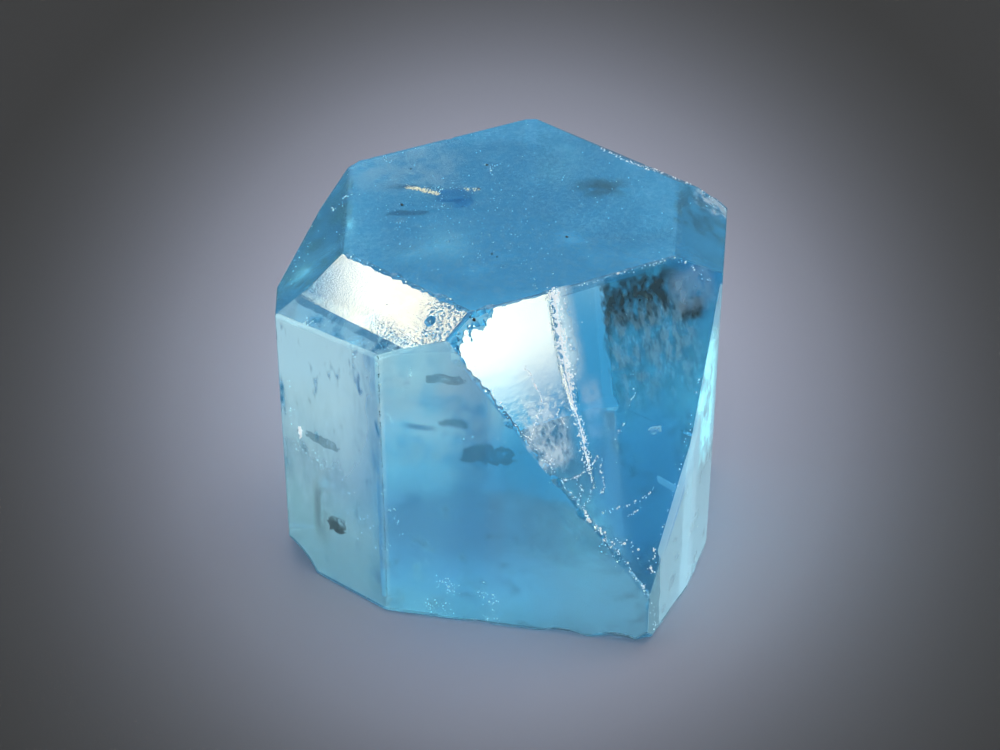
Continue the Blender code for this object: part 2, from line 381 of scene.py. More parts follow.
on_foot = face_mask((0, 180), 0.5, 0.8)
on_frosted = times(tree, face_mask(FROSTED, 0.85, 0.9), fade_in(tree, x, 0.0003, -0.0007))
on_left = face_mask(LEFT, 0.85, 0.9)
on_top = face_mask(TOP)
on_dome = face_mask(DOME)
on_pyramid = face_mask(PYRAMID)
on_prism = fade_in(tree, reckon(tree, "ABSOLUTE", dot(facing, (0, 0, 1))), 0.1, 0.05)

# %% [markdown]
# The two mirror faces have ragged rims, where tiny shell-shaped chips have left the edge. Close to a
# neighbouring face, closer than a wandering limit, the surface bends away and the mirror light is lost.

# %% ragged rims
SHELL_SCALE, RIM_SOFTNESS = 1300.0, 0.00006
# How far the plane of each neighbouring face lies from the middle, in millimetres.
TOP_OUT, CORNER_OUT, FRONT_OUT = 29.75, 31.42, 17.03

shell = feed(tree, add(tree, "ShaderNodeTexVoronoi"), Vector=place, Scale=SHELL_SCALE).outputs["Distance"]


def rim(face, distance_mm, reach_mm):
    """1 inside the chipped margin beside the plane of one neighbouring face."""
    distance = distance_mm / 1000 + direction(*face).dot(MIDDLE)
    depth = reckon(tree, "SUBTRACT", distance, dot(place, direction(*face)))
    past_limit = reckon(tree, "SUBTRACT", depth, times(tree, shell, reach_mm / 1000))
    return fade_in(tree, past_limit, RIM_SOFTNESS, -RIM_SOFTNESS)


rim_top = rim(TOP, TOP_OUT, 0.20)
rim_sides = reckon(tree, "MAXIMUM", rim(CORNER, CORNER_OUT, 0.95), rim(FRONT, FRONT_OUT, 0.35))
ragged = reckon(tree, "MAXIMUM", times(tree, on_pyramid, rim_sides),
                times(tree, reckon(tree, "MAXIMUM", on_pyramid, on_dome), rim_top))
print("masks and rims take", len(tree.nodes), "nodes")

# %% [markdown]
# The relief is a height in metres that feeds one Bump node. One noise does for all of it: a faint orange
# peel on most faces, drawn out into upright growth lines on the prism, finer and deeper where the small dome
# face is pitted, and a little stronger where the lower end of the slanted face is rippled. The pits on the
# dome face are rough at the bottom, so each one is a dull dot in the mirror.

# %% relief
# Metres of relief: on a plain face, and what each kind of face adds to it.
PLAIN_RELIEF, POLISHED_ADDS, PITTED_ADDS, RIPPLED_ADDS, TOP_ADDS = 8e-6, -6e-6, 16e-6, 3e-6, -4e-6
CHIP_RELIEF = 0.00025
GRAIN_SCALE, PIT_SCALE, FINER_ON_DOME = 1500.0, 4300.0, 2.4
ALONG_DOME, ACROSS_CRACK = (0.896, -0.399, 0.187), (0.883, 0.469, 0.0)
# Where the pits and ripples begin and where they are full: metres along those lines, or of height.
DOME_END, DOME_HALF, DOME_FOOT = (0.0025, 0.0060), (-0.0015, 0.0025), (0.0284, 0.0272)
CRACK_SIDE, RIPPLE_HEIGHT = (-0.0018, -0.0028), (0.0235, 0.021)
DRAW_OUT, QUIETEN = -0.96, -0.6

drawn_out = plus(tree, 1.0, times(tree, on_prism, DRAW_OUT))
grain_place = add(tree, "ShaderNodeCombineXYZ")
fine = reckon(tree, "MULTIPLY_ADD", reckon(tree, "GREATER_THAN", on_dome, 0.5), FINER_ON_DOME, 1.0)
for socket, value in zip(grain_place.inputs, (x, y, times(tree, z, drawn_out))):
    plug(tree, socket, times(tree, value, fine))
grain = feed(tree, add(tree, "ShaderNodeTexNoise"), Vector=grain_place.outputs[0], Scale=GRAIN_SCALE,
             Detail=2.0, Roughness=0.6).outputs[0]
dome_end = fade_in(tree, dot(place, ALONG_DOME), *DOME_END)
dome_foot = fade_in(tree, z, *DOME_FOOT)
right_half = fade_in(tree, dot(place, ALONG_DOME), *DOME_HALF)
pitted = times(tree, on_dome, reckon(tree, "MAXIMUM", dome_end, times(tree, dome_foot, right_half)))
left_of_crack = fade_in(tree, dot(place, ACROSS_CRACK), *CRACK_SIDE)
rippled = times(tree, on_pyramid, left_of_crack, fade_in(tree, z, *RIPPLE_HEIGHT))
bare = reckon(tree, "SUBTRACT", 1.0, reckon(tree, "MAXIMUM", on_foot, face_mask(BACK, 0.5, 0.7)))
quiet = reckon(tree, "MULTIPLY_ADD", on_prism, QUIETEN, 1.0)
smooth = reckon(tree, "MAXIMUM", on_pyramid, on_dome)
depth_of_grain = plus(tree, PLAIN_RELIEF, times(tree, smooth, POLISHED_ADDS),
                      times(tree, pitted, PITTED_ADDS), times(tree, rippled, RIPPLED_ADDS),
                      times(tree, on_top, TOP_ADDS))
depth_of_grain = times(tree, depth_of_grain, bare, quiet)
relief = plus(tree, times(tree, grain, depth_of_grain), times(tree, ragged, shell, CHIP_RELIEF))
bump = feed(tree, add(tree, "ShaderNodeBump"), Strength=1.0, Distance=1.0, Height=relief)
print("the relief adds up to", len(tree.nodes), "nodes")

# %% roughness and glass
# Roughness of a plain face, and what each kind of face adds to it.
PLAIN_ROUGH, POLISH, FOOT_ROUGH, FROST, LEFT_ROUGH = 0.17, -0.13, 0.55, 0.6, 0.15
PITTED_ROUGH, PIT_ROUGH = 0.10, 0.44
WIDER_WHERE_PITTED, PIT_RIM, PIT_FLOOR = -0.42, 0.10, -0.08

pits = feed(tree, add(tree, "ShaderNodeTexVoronoi"), Vector=place, Scale=PIT_SCALE)
from_pit = reckon(tree, "MULTIPLY_ADD", pitted, WIDER_WHERE_PITTED, pits.outputs["Distance"])
pit = fade_in(tree, from_pit, PIT_RIM, PIT_FLOOR)
rough = plus(tree, PLAIN_ROUGH, times(tree, smooth, POLISH), times(tree, on_foot, FOOT_ROUGH),
             times(tree, on_frosted, FROST), times(tree, on_left, LEFT_ROUGH),
             times(tree, pitted, PITTED_ROUGH), times(tree, pitted, pit, PIT_ROUGH))
stone = feed(tree, add(tree, "ShaderNodeBsdfPrincipled"), Base_Color=(1, 1, 1, 1), Roughness=rough, IOR=BEND,
             Normal=bump.outputs[0], Transmission_Weight=1.0)
drink = feed(tree, add(tree, "ShaderNodeVolumeAbsorption"), Color=DRINK_COLOUR, Density=DRINK_DENSITY)
out = add(tree, "ShaderNodeOutputMaterial")
tree.links.new(stone.outputs[0], out.inputs["Surface"])
tree.links.new(drink.outputs[0], out.inputs["Volume"])
crystal.data.materials.clear()
crystal.data.materials.append(topaz)
print("topaz has", len(tree.nodes), "nodes")

# %% [markdown]
# ## Where cracks and grains sit
#
# A flaw is easiest to place by pointing at it: so far across and so far down in a frame of 1000 by 750, from
# where the camera stands. The pointing line meets the surface, bends by the stone's index and goes on
# inside. The place it gives is then fixed in the stone, whatever side it is looked at from. A step in that
# frame is about a tenth of a millimetre on the stone.

# %% pointing lines
FRAME_ACROSS, FRAME_DOWN = 1000, 750
TOP_MIDDLE = (520, 230)
MM = 0.001

surface = BVHTree.FromPolygons(
    [v.co.copy() for v in crystal.data.vertices], [tuple(f.vertices) for f in crystal.data.polygons])
missed = []


def on_stone(across, down):
    """Point, outward normal and bent line where the pointing line meets the stone, or None beside it."""
    pixel = SENSOR / LENS / FRAME_ACROSS
    line = Vector(((across - FRAME_ACROSS / 2) * pixel, (FRAME_DOWN / 2 - down) * pixel, -1.0))
    line.rotate(camera.rotation_euler)
    line.normalize()
    point, normal, _, _ = surface.ray_cast(EYE, line)
    if point is None:
        return None
    slope = -line.dot(normal)
    bent = line / BEND + normal * (slope / BEND - math.sqrt(1 - (1 - slope**2) / BEND**2))
    return point, normal, bent


def in_stone(across, down, depth_mm):
    """The place that many millimetres along the bent line, short of the far side; None beside the stone."""
    found = on_stone(across, down)
    if found is None:
        return None
    point, _, bent = found
    way_through = surface.ray_cast(point + bent * 0.1 * MM, bent)[3] or 0.0
    return point + bent * min(depth_mm * MM, 0.9 * way_through)


print("middle of the top is at", [round(v / MM, 1) for v in on_stone(*TOP_MIDDLE)[0]], "mm")

# %% [markdown]
# ## Finishes of the flaws
#
# Crushed edges are small angular grains of the stone itself, which scatter light so well that they look
# white. A healed crack is a film of tiny bubbles. It could be modelled bubble by bubble, but a thin cloudy
# sheet shows the same thing at this size: milky where it scatters light and smoky where it holds stain. Both
# share one cloud pattern, kept as a node group. A faint painted glow stands for light that has been
# scattered many times and keeps the flaws bright inside the glass, where little lamp light reaches them; it
# is too weak to light anything, so the renderer does not treat it as a lamp.

# %% cloud pattern
cloud_group = bpy.data.node_groups.new("cloud", "ShaderNodeTree")
for socket_name, kind, way in (("Place", "NodeSocketVector", "INPUT"), ("Scale", "NodeSocketFloat", "INPUT"),
                               ("Low", "NodeSocketFloat", "INPUT"), ("High", "NodeSocketFloat", "INPUT"),
                               ("Mask", "NodeSocketFloat", "OUTPUT"), ("Raw", "NodeSocketFloat", "OUTPUT")):
    cloud_group.interface.new_socket(socket_name, in_out=way, socket_type=kind)
entry = add(cloud_group, "NodeGroupInput")
leave = add(cloud_group, "NodeGroupOutput")
puffs = feed(cloud_group, add(cloud_group, "ShaderNodeTexNoise"), Vector=entry.outputs["Place"],
             Scale=entry.outputs["Scale"], Detail=2.0, Roughness=0.72)
step = feed(cloud_group, add(cloud_group, "ShaderNodeMapRange", interpolation_type="SMOOTHSTEP"),
            Value=puffs.outputs[0], From_Min=entry.outputs["Low"], From_Max=entry.outputs["High"])
cloud_group.links.new(step.outputs[0], leave.inputs["Mask"])
cloud_group.links.new(puffs.outputs[0], leave.inputs["Raw"])


def cloud(tree, where, scale, low, high):
    """Places the cloud pattern in a material; gives its mask and its raw value."""
    node = add(tree, "ShaderNodeGroup")
    node.node_tree = cloud_group
    feed(tree, node, Place=where, Scale=scale, Low=low, High=high)
    return node.outputs["Mask"], node.outputs["Raw"]


print("the cloud pattern takes", len(cloud_group.nodes), "nodes")


# %% film finish
SOFT_WANDER, CRISP_WANDER, CRISP_RIM = 0.3, 0.8, (0.22, 0.42)


def film_finish(name, colour, cover, glow, puffs, holes, edges, stretch=1.0, crisp=False):
    """A cloudy film.

    Cover is its greatest opacity, glow its faint painted light and puffs the scale of its clouds. Holes are
    the cloud values between which it goes from clear to full. Edges are the soft shares of its left, right,
    bottom and top. Stretch below 1 draws the clouds out upright. A crisp film ends in a ragged outline.
    """
    material, tree = new_material(name)
    where, _, _, _ = axes_of(tree)
    drawn = feed(tree, add(tree, "ShaderNodeMapping"), Vector=where, Scale=(1.0, 1.0, stretch))
    mask, raw = cloud(tree, drawn.outputs[0], puffs, *holes)
    _, u, v, _ = axes_of(tree, "UV")
    wander = CRISP_WANDER if crisp else SOFT_WANDER
    aside = reckon(tree, "MULTIPLY_ADD", raw, wander, -wander / 2)
    u, v = plus(tree, u, aside), plus(tree, v, aside)
    left, right, bottom, top = edges
    shape = times(tree, fade_in(tree, u, 0.0, left), fade_in(tree, u, 1.0, 1.0 - right),
                  fade_in(tree, v, 0.0, bottom), fade_in(tree, v, 1.0, 1.0 - top))
    if crisp:
        shape = fade_in(tree, shape, *CRISP_RIM)
    veil = times(tree, shape, mask, cover)
    show(tree, feed(tree, add(tree, "ShaderNodeBsdfPrincipled"), Base_Color=(*colour, 1), Roughness=0.8,
                    Alpha=veil, Emission_Color=(*colour, 1), Emission_Strength=glow, Specular_IOR_Level=0.0))
    material.cycles.emission_sampling = "NONE"
    return material


# %% grain finishes
DULL_SHARE, TONE_SCALE, TONE_STEP = 0.55, 4000.0, (0.35, 0.6)


def grain_finish(name, colour, glow, roughness):
    """Angular grains, a little uneven in tone from one to the next, with a faint painted glow."""
    material, tree = new_material(name)
    tone, _ = cloud(tree, axes_of(tree)[0], TONE_SCALE, *TONE_STEP)
    dull = tuple(DULL_SHARE * c for c in colour)
    skin = blend(tree, tone, (*dull, 1), (*colour, 1))
    show(tree, feed(tree, add(tree, "ShaderNodeBsdfPrincipled"), Base_Color=skin, Roughness=roughness,
                    Emission_Color=(*colour, 1), Emission_Strength=glow))
    material.cycles.emission_sampling = "NONE"
    return material


crushed = grain_finish("crushed_topaz", (0.93, 0.97, 0.98), 0.48, 0.35)
sparkle = grain_finish("inner_sparkle", (0.62, 0.93, 1.0), 0.45, 0.3)
straw = grain_finish("straw_stain", (0.84, 0.83, 0.64), 0.35, 0.6)
rust = grain_finish("rust_speck", (0.055, 0.035, 0.015), 0.0, 0.7)
print("finishes so far:", len(bpy.data.materials))

# %% [markdown]
# ## One chip, many copies
#
# A grain of crushed stone is a splinter with a few flat sides. It is modelled once, as a twenty-sided ball
# that is squashed, shaken out of true and cut across, in three versions. Every grain is a turned and scaled
# copy of one of them, and all grains of one crack are then joined.

# %% chip moulds
CHIP_RADIUS, CHIP_SQUASH, CHIP_SHAKE = 1.4, (1.0, 0.8, 0.5), 0.18
CUT_PLACE, CUT_WAY = (0.6, 0, 0), (1, 0.4, 0.2)


def mould_chip(seed):
    """A splinter about one metre in radius, ready to be copied at its real size."""
    deselect_all()
    bpy.ops.mesh.primitive_ico_sphere_add(subdivisions=1, radius=CHIP_RADIUS)
    bpy.ops.object.mode_set(mode="EDIT")
    bpy.ops.mesh.select_all(action="SELECT")
    bpy.ops.transform.resize(value=CHIP_SQUASH)
    bpy.ops.transform.vertex_random(offset=CHIP_SHAKE, seed=seed)
    bpy.ops.mesh.select_all(action="SELECT")
    bpy.ops.mesh.bisect(plane_co=CUT_PLACE, plane_no=CUT_WAY, use_fill=True, clear_outer=True)
    bpy.ops.mesh.select_all(action="SELECT")
    bpy.ops.mesh.normals_make_consistent(inside=False)
    bpy.ops.object.mode_set(mode="OBJECT")
    return bpy.context.object


moulds = [mould_chip(seed) for seed in (1, 2, 3)]
print("a chip has", [len(mould.data.polygons) for mould in moulds], "faces")


# %% tools for grains
def dress(piece, material, name):
    """Names a piece, puts its place into its mesh, gives it its finish and lets it ride with the stone."""
    bpy.ops.object.transform_apply(location=True, rotation=True, scale=True)
    piece.name = piece.data.name = name
    piece.data.materials.clear()
    piece.data.materials.append(material)
    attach(piece, "root")
    print(name, len(piece.data.polygons), "faces")
    return piece


def crush(name, grains, material, seed, flat=1.0):
    """Makes one piece of grains, which are pairs of centre and radius."""
    chance = random.Random(seed)
    deselect_all()
    for centre, radius in grains:
        mould = moulds[chance.randrange(len(moulds))]
        grain = mould.copy()
        grain.data = mould.data.copy()
        grain.location = centre
        grain.rotation_euler = [chance.uniform(0, 2 * math.pi) for _ in range(3)]
        grain.scale = (radius, radius, radius * flat)
        scene.collection.objects.link(grain)
        grain.select_set(True)
        bpy.context.view_layer.objects.active = grain
    bpy.ops.object.join()
    return dress(bpy.context.object, material, name)


def strewn(corners, count, low_mm, high_mm, spread, chance, depth_mm=0.0):
    """Grains along a broken line of pointed-at places, up to about spread off it, most of them small."""
    grains = []
    lengths = [math.dist(a, b) for a, b in zip(corners, corners[1:])]
    for _ in range(count):
        run = chance.uniform(0, sum(lengths))
        part = 0
        while part < len(lengths) - 1 and run > lengths[part]:
            run -= lengths[part]
            part += 1
        (ax, ay), (bx, by) = corners[part], corners[part + 1]
        share = run / lengths[part]
        across = ax + (bx - ax) * share + chance.gauss(0, spread / 2)
        down = ay + (by - ay) * share + chance.gauss(0, spread / 2)
        place_of_grain = in_stone(across, down, depth_mm * chance.uniform(0.6, 1.4))
        radius = low_mm + (high_mm - low_mm) * chance.random() ** 3
        if place_of_grain is None or place_of_grain.z < radius * MM:
            missed.append((across, down))
        else:
            grains.append((place_of_grain, radius * MM))
    return grains


# %% [markdown]
# A flat sheet is a rectangle, but the faces of the stone are not. Each sheet is therefore trimmed with a
# Boolean against a copy of the stone that is a little smaller all round, so that no corner of it can stick
# out. The stone's own mesh is loose triangles and stays as it is; only the copy has its seams merged.

# %% smaller copy of the stone
CORE_SHARE = 0.991
CORE_MIDDLE = (*MIDDLE.xy, 0.0149)
stone_core = bpy.data.objects.new("stone_core", crystal.data.copy())
scene.collection.objects.link(stone_core)
deselect_all()
stone_core.select_set(True)
bpy.context.view_layer.objects.active = stone_core
bpy.ops.object.mode_set(mode="EDIT")
bpy.ops.mesh.select_all(action="SELECT")
bpy.ops.mesh.remove_doubles(threshold=0.000001)
bpy.ops.transform.resize(value=(CORE_SHARE,) * 3, center_override=CORE_MIDDLE)
bpy.ops.object.mode_set(mode="OBJECT")
print("the smaller copy has", len(stone_core.data.polygons), "faces")


# %% tools for seams and films
# How a seam varies: steps between corners, stray as a share of its radius, size and final shake.
STEPS_PER_CORNER, SEAM_STRAY, SEAM_SWELL, SEAM_SHAKE = 12, 0.4, (0.55, 1.35), 0.45
FILM_THICKNESS = 0.02 * MM
SWELL_LENGTH = 0.004


def seam(name, corners, radii_mm, material, seed):
    """A rugged raised lip: a small ring extruded in short, uneven steps from corner to corner."""
    chance = random.Random(seed)
    places = [on_stone(*corner)[0] for corner in corners]
    start = (places[1] - places[0]).to_track_quat("Z", "Y").to_euler()
    deselect_all()
    bpy.ops.mesh.primitive_circle_add(vertices=8, radius=radii_mm[0] * MM, fill_type="NGON",
                                      location=places[0], rotation=start)
    bpy.ops.object.mode_set(mode="EDIT")
    bpy.ops.mesh.select_all(action="SELECT")
    at, size = places[0], radii_mm[0]
    for here, there, before, after in zip(places, places[1:], radii_mm, radii_mm[1:]):
        for step in range(1, STEPS_PER_CORNER + 1):
            share = step / STEPS_PER_CORNER
            aside = Vector([chance.uniform(-SEAM_STRAY, SEAM_STRAY) * before * MM for _ in range(3)])
            target = here.lerp(there, share) + aside
            new_size = (before + (after - before) * share) * chance.uniform(*SEAM_SWELL)
            bpy.ops.mesh.extrude_region_move(TRANSFORM_OT_translate={"value": target - at})
            bpy.ops.transform.resize(value=(new_size / size,) * 3, center_override=target)
            at, size = target, new_size
    bpy.ops.mesh.select_all(action="SELECT")
    bpy.ops.transform.vertex_random(offset=sum(radii_mm) / len(radii_mm) * SEAM_SHAKE * MM, seed=seed)
    bpy.ops.mesh.normals_make_consistent(inside=False)
    bpy.ops.object.mode_set(mode="OBJECT")
    return dress(bpy.context.object, material, name)


def film(name, centre, normal, size_mm, material, bow_mm):
    """A gently wavy sheet of hair thickness across a normal, its width level and its height up the slope."""
    deselect_all()
    turn = normal.to_track_quat("Z", "Y").to_euler()
    bpy.ops.mesh.primitive_grid_add(x_subdivisions=20, y_subdivisions=20, size=1.0, location=centre,
                                    rotation=turn)
    sheet = bpy.context.object
    sheet.scale = (size_mm[0] * MM, size_mm[1] * MM, 1.0)
    bpy.ops.object.transform_apply(location=False, rotation=False, scale=True)
    swell = bpy.data.textures.new(name, "CLOUDS")
    swell.noise_scale = SWELL_LENGTH
    wave = sheet.modifiers.new("wave", "DISPLACE")
    wave.texture, wave.strength, wave.mid_level = swell, bow_mm * MM, 0.5
    bpy.ops.object.modifier_apply(modifier="wave")
    skin = sheet.modifiers.new("skin", "SOLIDIFY")
    skin.thickness = FILM_THICKNESS
    bpy.ops.object.modifier_apply(modifier="skin")
    bpy.ops.object.transform_apply(location=True, rotation=True, scale=True)
    trim = sheet.modifiers.new("trim", "BOOLEAN")
    trim.operation, trim.object, trim.solver = "INTERSECT", stone_core, "EXACT"
    bpy.ops.object.modifier_apply(modifier="trim")
    return dress(sheet, material, name)


def film_behind(name, at, depth_mm, size_mm, material, bow_mm=0.2):
    """A sheet parallel to the face it lies under, centred behind a pointed-at place."""
    _, normal, _ = on_stone(*at)
    return film(name, in_stone(*at, depth_mm), normal, size_mm, material, bow_mm)


# %% [markdown]
# ## The crack across the slanted face
#
# A crack runs down the big slanted face beside the mirror patch. Its raised lip is crushed to a white seam,
# and its side cracks show as rows of grains. A painted white line would stay flat when the view turns, so
# the lip is a real ridge, and the grains along it are real splinters that catch the light.

# %% main crack
chance = random.Random(7)
LIP = [(553, 292), (556, 307), (558, 322), (561, 338), (563, 352), (566, 370), (570, 388), (573, 405),
       (579, 421), (583, 438), (585, 452), (588, 464)]
LIP_RADII = [0.04, 0.06, 0.05, 0.07, 0.05, 0.05, 0.05, 0.05, 0.04, 0.04, 0.03, 0.02]
LIP_HEAD = [(549, 292), (557, 292), (557, 302)]
LIP_SIDE = [(563, 320), (569, 345), (570, 370)]
seam("crack_lip", LIP, LIP_RADII, crushed, 3)
lip_grains = strewn(LIP[:7], 620, 0.03, 0.11, 6.5, chance)
lip_grains += strewn(LIP[6:], 260, 0.03, 0.09, 4.5, chance)
lip_grains += strewn(LIP_HEAD, 22, 0.06, 0.15, 4, chance)
lip_grains += strewn(LIP_SIDE, 40, 0.02, 0.06, 8, chance)
crush("crack_lip_grains", lip_grains, crushed, 5)

# %% side cracks
slate = grain_finish("slate_dark_grains", (0.16, 0.33, 0.42), 0.1, 0.6)
# These slate grains left of the crack's lip are a painted shadow of the raised seam.
SHADOW_ASIDE, SHADOW_BELOW = -6, 2
foot_of_lip = [(across + SHADOW_ASIDE, down + SHADOW_BELOW) for across, down in LIP[:8]]
crush("crack_shadow", strewn(foot_of_lip, 260, 0.02, 0.06, 2.0, chance), slate, 43)

# Each row is the corners that a crack is pointed at and how many grains it has, before the share of more.
MORE_GRAINS = 1.5
SIDE_CRACKS = [
    ([(525, 367), (535, 384), (542, 397), (539, 414), (533, 430), (528, 443)], 60),
    ([(563, 402), (557, 414), (566, 426)], 20),
    ([(561, 480), (576, 478), (588, 469), (598, 456)], 40),
    ([(588, 458), (590, 472), (593, 486), (588, 502)], 30),
    ([(602, 458), (600, 470), (604, 484), (601, 497)], 24),
    ([(576, 478), (582, 490), (578, 500)], 14),
    ([(600, 513), (624, 507), (641, 500), (654, 488)], 26),
    ([(629, 516), (641, 508)], 7),
    ([(583, 500), (586, 520)], 7),
    ([(631, 368), (634, 394), (625, 420), (614, 440)], 12),
]
crack_grains = []
for corners, count in SIDE_CRACKS:
    crack_grains += strewn(corners, round(count * MORE_GRAINS), 0.03, 0.085, 1.6, chance)
crush("side_crack_grains", crack_grains, crushed, 11)

# %% [markdown]
# ## Crushed edges
#
# Edges of a handled crystal are nibbled. The grains crowd the two long edges of the slanted face and its
# lower tip, and thin out elsewhere. A rough bevel would give an even white line, and strewn grains give the
# broken one that wear leaves.

# %% edge grains
# Each row is the corners along an edge, how many grains, their least and greatest radius in millimetres, and
# how far they stray in steps of the frame.
EDGES = [
    ([(470, 360), (500, 403), (540, 455)], 26, 0.03, 0.08, 1.5),
    ([(544, 454), (556, 472)], 16, 0.04, 0.12, 4.0),
    ([(560, 480), (588, 515)], 16, 0.03, 0.08, 1.5),
    ([(586, 512), (590, 522)], 9, 0.05, 0.17, 2.5),
    ([(592, 522), (620, 557)], 46, 0.03, 0.11, 3.5),
    ([(620, 557), (651, 598)], 34, 0.03, 0.10, 3.0),
    ([(614, 538), (634, 552)], 22, 0.04, 0.13, 8.0),
    ([(652, 602), (656, 630)], 16, 0.03, 0.09, 2.5),
    ([(656, 550), (650, 572)], 18, 0.04, 0.14, 4.0),
    ([(700, 380), (680, 470), (661, 538)], 26, 0.03, 0.09, 2.0),
    ([(618, 274), (648, 266), (674, 258), (690, 264), (714, 284)], 44, 0.03, 0.09, 2.5),
    ([(600, 280), (560, 292)], 8, 0.03, 0.05, 1.5),
    ([(345, 254), (380, 268), (466, 306)], 12, 0.02, 0.05, 1.5),
    ([(466, 308), (441, 346)], 10, 0.02, 0.05, 1.5),
    ([(600, 148), (635, 164), (665, 173), (695, 185), (725, 203)], 190, 0.03, 0.08, 1.6),
    ([(286, 262), (330, 190), (352, 156)], 24, 0.02, 0.05, 1.5),
    ([(290, 596), (330, 622), (380, 640), (470, 652), (560, 655), (640, 654)], 90, 0.02, 0.06, 2.0),
]
edge_grains = []
for corners, count, low, high, spread in EDGES:
    edge_grains += strewn(corners, count, low, high, spread, chance)
crush("edge_grains", edge_grains, crushed, 17)

# %% [markdown]
# The top face is peppered with tiny bright points, thickest towards the front left. A noise mask could make
# them, but points this small stay crisp only as real grains.

# %% bright points on the top
POINTS_FRONT = [(380, 215), (470, 235), (560, 262)]
POINTS_BACK = [(370, 165), (500, 160), (640, 215)]
pale_point_finish = grain_finish("pale_points", (0.46, 0.78, 0.92), 0.15, 0.4)
top_points = strewn(POINTS_FRONT, 260, 0.025, 0.070, 44.0, chance)
top_points += strewn(POINTS_BACK, 120, 0.025, 0.065, 50.0, chance)
crush("top_points", top_points, pale_point_finish, 19)

# %% [markdown]
# ## Sparkles inside
#
# Small cleavage flakes flash inside the stone, most of them low at the front and down the left side. Each is
# a flattened splinter a little under the face. It is seen through the glass, so it shifts with the view as a
# real one does. The flash is a painted glint, a glow in the finish of the flakes and of the bright cleavage.

# %% inner sparkles
# Each row is as for the edges, and ends with how deep the flakes lie in millimetres.
FLASHES = [
    ([(436, 580), (455, 590)], 34, 0.04, 0.12, 8.0, 0.15),
    ([(428, 604), (450, 608)], 30, 0.04, 0.10, 8.0, 0.15),
    ([(478, 592), (500, 606)], 28, 0.04, 0.10, 8.0, 0.15),
    ([(484, 616), (498, 622)], 16, 0.03, 0.08, 5.0, 0.15),
    ([(358, 505), (368, 530), (385, 545)], 20, 0.03, 0.07, 10.0, 0.2),
    ([(390, 508), (404, 536)], 16, 0.03, 0.08, 4.0, 0.15),
    ([(286, 432), (330, 462), (352, 512)], 34, 0.025, 0.06, 9.0, 0.2),
    ([(282, 372), (294, 396), (290, 420)], 18, 0.04, 0.10, 5.0, 0.2),
    ([(298, 440), (312, 452), (332, 474)], 34, 0.03, 0.10, 8.0, 0.2),
    ([(352, 352), (358, 366)], 5, 0.04, 0.09, 1.5, 0.2),
    ([(374, 362), (379, 366)], 5, 0.04, 0.08, 2.0, 0.2),
    ([(410, 368), (412, 380)], 6, 0.04, 0.09, 2.0, 0.2),
    ([(388, 412), (392, 424)], 6, 0.03, 0.06, 3.0, 0.2),
    ([(360, 440), (380, 452)], 4, 0.04, 0.08, 4.0, 2.0),
    ([(450, 438), (505, 442)], 5, 0.04, 0.08, 5.0, 2.0),
    ([(386, 400), (398, 470)], 6, 0.03, 0.06, 6.0, 2.0),
    ([(490, 511), (492, 513)], 2, 0.07, 0.10, 1.0, 2.0),
    ([(600, 545), (606, 552)], 4, 0.05, 0.10, 4.0, 1.5),
    ([(385, 212), (400, 225)], 12, 0.03, 0.06, 12.0, 3.0),
    ([(430, 215), (600, 240)], 20, 0.02, 0.045, 40.0, 4.0),
    ([(560, 150), (600, 200)], 14, 0.02, 0.05, 30.0, 4.0),
    ([(436, 188), (444, 196)], 14, 0.04, 0.12, 4.0, 0.0),
    ([(438, 196), (446, 212)], 12, 0.03, 0.08, 6.0, 0.0),
    ([(446, 190), (480, 189)], 26, 0.02, 0.06, 9.0, 0.0),
    ([(484, 166), (496, 168), (488, 174)], 18, 0.03, 0.09, 4.0, 0.0),
    ([(492, 180), (502, 214)], 16, 0.02, 0.05, 6.0, 0.0),
    ([(331, 212), (340, 204), (348, 194)], 20, 0.04, 0.13, 3.0, 0.0),
    ([(384, 158), (388, 162)], 5, 0.04, 0.09, 3.0, 0.0),
    ([(288, 280), (296, 262), (318, 226)], 26, 0.03, 0.08, 9.0, 0.0),
    ([(690, 200), (722, 205), (724, 216)], 20, 0.03, 0.12, 6.0, 0.0),
    ([(304, 322), (312, 326)], 10, 0.04, 0.12, 4.0, 0.0),
    ([(378, 360), (381, 440), (387, 560)], 14, 0.03, 0.07, 3.0, 0.0),
]
BRIGHT_CLEAVAGE = [(300, 426), (303, 438)]
STRAW, STRAW_TAIL = [(407, 187), (422, 190), (438, 194)], [(464, 189), (480, 190)]
flashes = []
for corners, count, low, high, spread, depth in FLASHES:
    flashes += strewn(corners, count, low, high, spread, chance, depth)
# The glow of these flakes is a painted glint.
crush("inner_sparkles", flashes, sparkle, 23, flat=0.4)
big_flakes = strewn(BRIGHT_CLEAVAGE, 14, 0.10, 0.26, 3.0, chance, 0.2)
crush("bright_cleavage", big_flakes, crushed, 29, flat=0.5)
straw_grains = strewn(STRAW, 190, 0.04, 0.11, 2.0, chance)
straw_grains += strewn(STRAW_TAIL, 40, 0.03, 0.10, 1.6, chance)
crush("straw_streak", straw_grains, straw, 37)

# %% [markdown]
# ## Rust specks
#
# A few grains of brown iron ore are grown into the top face and the slanted face. They are the same
# splinters with a dark, dull finish, half sunk in the surface.

# %% rust specks
# Each speck is pointed at and has a radius in millimetres.
SPECKS = [(402, 205, 0.14), (387, 304, 0.06), (487, 165, 0.12), (479, 189, 0.11), (567, 237, 0.13),
          (492, 254, 0.09), (497, 257, 0.07), (411, 169, 0.08), (560, 236, 0.06), (545, 300, 0.05),
          (474, 320, 0.16), (470, 317, 0.08), (640, 300, 0.08)]
rust_grains = [(in_stone(across, down, 0.0), radius_mm * MM) for across, down, radius_mm in SPECKS]
crush("rust_specks", rust_grains, rust, 31)
